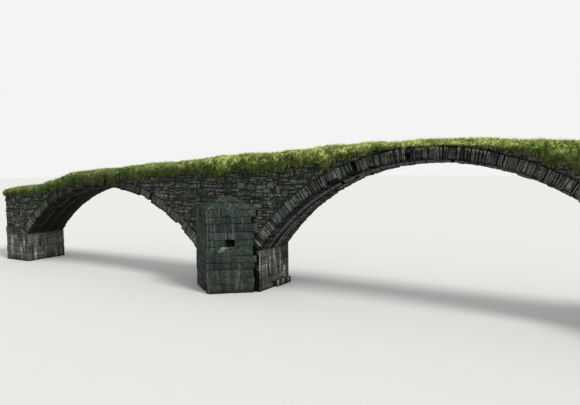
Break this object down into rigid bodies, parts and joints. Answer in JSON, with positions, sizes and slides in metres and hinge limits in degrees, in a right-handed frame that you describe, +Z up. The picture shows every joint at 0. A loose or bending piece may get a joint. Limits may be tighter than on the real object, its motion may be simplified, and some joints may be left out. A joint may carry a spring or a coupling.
{
  "type": "half-size scale model of a packhorse bridge",
  "caption": "Half-size model of an old stone packhorse bridge: a wide segmental arch between two smaller ones, pointed cutwaters, no parapets, turf deck.",
  "frame": {"origin": "bottom centre: under the crown of the main arch, in the middle of the bridge's width, at the river bed", "axes": "+X along the bridge, +Y across it from the seen face to the hidden one, +Z up"},
  "size_m": [26.8, 2.78, 3.3957],
  "materials": {
    "pier_sandstone": "coursed squared sandstone, weathered",
    "arch_sandstone": "sandstone arch stones, weathered and split",
    "rib_sandstone": "damp sandstone of the soffit",
    "wall_sandstone": "coursed rubble sandstone",
    "rubble_fill": "rubble in earth and lime",
    "turf_bed": "earth under short turf and moss"
  },
  "bodies": {
    "root": {"left_pier": "pier_sandstone", "right_pier": "pier_sandstone", "left_footing": "pier_sandstone", "right_footing": "pier_sandstone", "left_front_cutwater": "pier_sandstone", "left_back_cutwater": "pier_sandstone", "right_front_cutwater": "pier_sandstone", "right_back_cutwater": "pier_sandstone", "left_abutment": "pier_sandstone", "right_abutment": "pier_sandstone", "left_end_wall": "wall_sandstone", "right_end_wall": "wall_sandstone", "main_front_ring": "arch_sandstone", "main_front_rib": "rib_sandstone", "main_back_rib": "rib_sandstone", "main_back_ring": "arch_sandstone", "left_front_ring": "arch_sandstone", "left_front_rib": "rib_sandstone", "left_back_rib": "rib_sandstone", "left_back_ring": "arch_sandstone", "right_front_ring": "arch_sandstone", "right_front_rib": "rib_sandstone", "right_back_rib": "rib_sandstone", "right_back_ring": "arch_sandstone", "left_front_pier_wall": "wall_sandstone", "left_back_pier_wall": "wall_sandstone", "right_front_pier_wall": "wall_sandstone", "right_back_pier_wall": "wall_sandstone", "left_front_approach_wall": "wall_sandstone", "left_back_approach_wall": "wall_sandstone", "right_front_approach_wall": "wall_sandstone", "right_back_approach_wall": "wall_sandstone", "left_pier_fill": "rubble_fill", "right_pier_fill": "rubble_fill", "left_approach_fill": "rubble_fill", "right_approach_fill": "rubble_fill", "crown_packing": "rubble_fill", "left_turf_bed": "turf_bed", "main_turf_bed": "turf_bed", "right_turf_bed": "turf_bed"}
  },
  "joints": []
}
